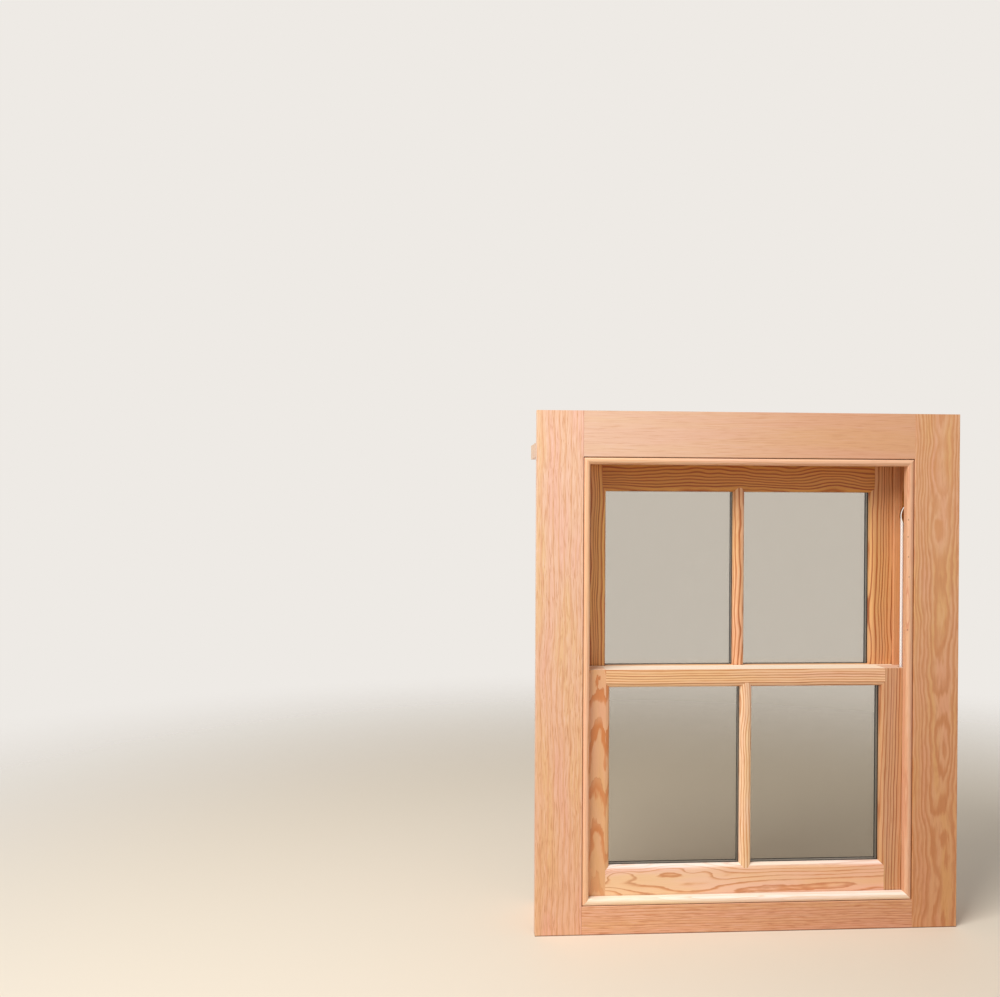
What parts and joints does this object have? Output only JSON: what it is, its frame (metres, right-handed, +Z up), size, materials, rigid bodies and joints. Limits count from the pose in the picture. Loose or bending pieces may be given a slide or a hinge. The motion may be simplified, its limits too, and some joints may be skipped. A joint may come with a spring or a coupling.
{
  "type": "sash window",
  "caption": "Double-hung timber sash window in its box frame: sliding glazed sashes balanced by cords, pulleys and hidden weights.",
  "frame": {"origin": "bottom centre of the whole window, in width and in depth", "axes": "+X right as seen from the room, +Y outwards from the room through the window, +Z up"},
  "size_m": [0.85, 0.175, 1.028],
  "materials": {
    "timber": "satin",
    "clear_glass": "clear",
    "spacer_metal": "satin",
    "iron": "as cast",
    "brass": "satin",
    "steel": "plain",
    "sash_cord": "braided"
  },
  "bodies": {
    "frame": {"sill": "timber", "head": "timber", "pulley_stile_left": "timber", "pulley_stile_right": "timber", "pocket_piece_left": "timber", "pocket_piece_right": "timber", "inner_lining_left": "timber", "inner_lining_right": "timber", "inner_lining_head": "timber", "outer_lining_left": "timber", "outer_lining_right": "timber", "outer_lining_head": "timber", "back_lining_left": "timber", "back_lining_right": "timber", "parting_slip_left": "timber", "parting_slip_right": "timber", "parting_bead_left": "timber", "parting_bead_right": "timber", "parting_bead_head": "timber", "staff_bead_left": "timber", "staff_bead_right": "timber", "staff_bead_top": "timber", "staff_bead_bottom": "timber", "pulley_case_lower_left": "brass", "pulley_case_lower_right": "brass", "pulley_case_upper_left": "brass", "pulley_case_upper_right": "brass", "pulley_axles": "steel", "pulley_screws": "brass", "pocket_screws_and_slip_nails": "steel", "cord_lower_left": "sash_cord", "cord_lower_right": "sash_cord", "cord_upper_left": "sash_cord", "cord_upper_right": "sash_cord"},
    "lower_sash": {"lower_stile_left": "timber", "lower_stile_right": "timber", "lower_glazing_bar": "timber", "lower_glazing_beads": "timber", "lower_bottom_rail": "timber", "lower_meeting_rail": "timber", "lower_inner_panes": "clear_glass", "lower_outer_panes": "clear_glass", "lower_spacers": "spacer_metal"},
    "upper_sash": {"upper_stile_left": "timber", "upper_stile_right": "timber", "upper_glazing_bar": "timber", "upper_glazing_beads": "timber", "upper_meeting_rail": "timber", "upper_top_rail": "timber", "upper_inner_panes": "clear_glass", "upper_outer_panes": "clear_glass", "upper_spacers": "spacer_metal"},
    "lower_weight_left": {"weight_lower_left": "iron"},
    "lower_wheel_left": {"pulley_wheel_lower_left": "brass"},
    "lower_weight_right": {"weight_lower_right": "iron"},
    "lower_wheel_right": {"pulley_wheel_lower_right": "brass"},
    "upper_weight_left": {"weight_upper_left": "iron"},
    "upper_wheel_left": {"pulley_wheel_upper_left": "brass"},
    "upper_weight_right": {"weight_upper_right": "iron"},
    "upper_wheel_right": {"pulley_wheel_upper_right": "brass"}
  },
  "joints": [
    {"name": "lower_sash_slide", "type": "slide", "parent": "frame", "child": "lower_sash", "axis": [0, 0, 1], "range_m": [0, 0.4], "deforming": ["cord_lower_left", "cord_lower_right"]},
    {"name": "lower_weight_left_slide", "type": "slide", "parent": "frame", "child": "lower_weight_left", "axis": [0, 0, 1], "range_m": [-0.4, 0]},
    {"name": "lower_wheel_left_turn", "type": "hinge", "parent": "frame", "child": "lower_wheel_left", "pos_m": [-0.3515, -0.04625, 0.825], "axis": [0, 1, 0], "range_deg": [-917, 0]},
    {"name": "lower_weight_right_slide", "type": "slide", "parent": "frame", "child": "lower_weight_right", "axis": [0, 0, 1], "range_m": [-0.4, 0]},
    {"name": "lower_wheel_right_turn", "type": "hinge", "parent": "frame", "child": "lower_wheel_right", "pos_m": [0.3515, -0.04625, 0.825], "axis": [0, 1, 0], "range_deg": [0, 917]},
    {"name": "upper_sash_slide", "type": "slide", "parent": "frame", "child": "upper_sash", "axis": [0, 0, 1], "range_m": [-0.4, 0], "deforming": ["cord_upper_left", "cord_upper_right"]},
    {"name": "upper_weight_left_slide", "type": "slide", "parent": "frame", "child": "upper_weight_left", "axis": [0, 0, 1], "range_m": [0, 0.4]},
    {"name": "upper_wheel_left_turn", "type": "hinge", "parent": "frame", "child": "upper_wheel_left", "pos_m": [-0.3515, 0.00825, 0.825], "axis": [0, 1, 0], "range_deg": [0, 917]},
    {"name": "upper_weight_right_slide", "type": "slide", "parent": "frame", "child": "upper_weight_right", "axis": [0, 0, 1], "range_m": [0, 0.4]},
    {"name": "upper_wheel_right_turn", "type": "hinge", "parent": "frame", "child": "upper_wheel_right", "pos_m": [0.3515, 0.00825, 0.825], "axis": [0, 1, 0], "range_deg": [-917, 0]}
  ],
  "couplings": [
    {"joint": "lower_weight_left_slide", "follows": "lower_sash_slide", "ratio": -1},
    {"joint": "lower_wheel_left_turn", "follows": "lower_sash_slide", "rad_per_m": -40},
    {"joint": "lower_weight_right_slide", "follows": "lower_sash_slide", "ratio": -1},
    {"joint": "lower_wheel_right_turn", "follows": "lower_sash_slide", "rad_per_m": 40},
    {"joint": "upper_weight_left_slide", "follows": "upper_sash_slide", "ratio": -1},
    {"joint": "upper_wheel_left_turn", "follows": "upper_sash_slide", "rad_per_m": -40},
    {"joint": "upper_weight_right_slide", "follows": "upper_sash_slide", "ratio": -1},
    {"joint": "upper_wheel_right_turn", "follows": "upper_sash_slide", "rad_per_m": 40}
  ]
}
